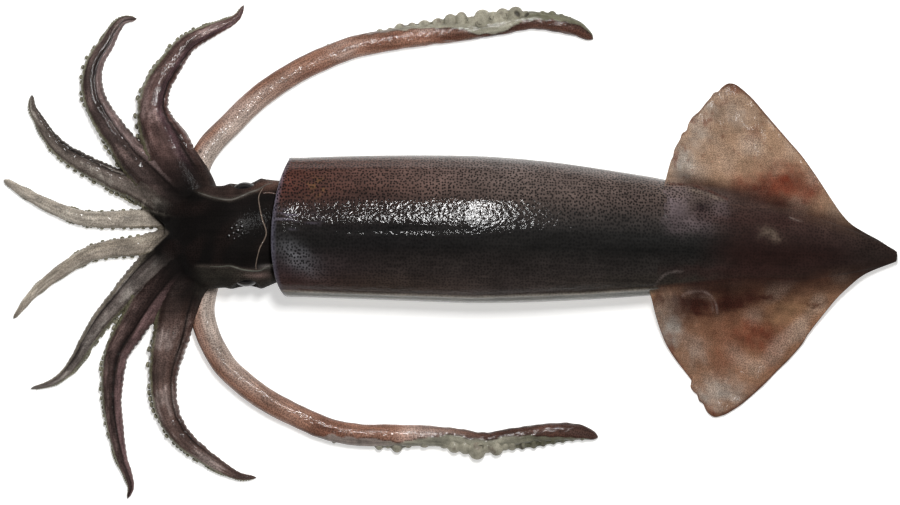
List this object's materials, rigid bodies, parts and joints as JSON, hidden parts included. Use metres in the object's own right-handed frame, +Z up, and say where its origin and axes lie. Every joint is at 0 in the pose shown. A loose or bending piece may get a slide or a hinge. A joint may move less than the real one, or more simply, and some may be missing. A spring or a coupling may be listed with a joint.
{
  "type": "whole raw squid",
  "caption": "Whole raw squid lying belly down: tapered oval mantle with triangular tail fins, round head with eyes, curling arms and long clubbed tentacles.",
  "frame": {"origin": "on the surface the squid lies on, under the middle of its outline", "axes": "+Z up, +X from the arms along the mantle to the tail tip, +Y to the animal's right side"},
  "size_m": [0.406, 0.2245, 0.0415],
  "materials": {
    "squid_skin": null,
    "eye_wet": "wet dark eyeball"
  },
  "bodies": {
    "root": {"squid": "squid_skin", "eye_right": "eye_wet", "eye_left": "eye_wet"}
  },
  "joints": []
}
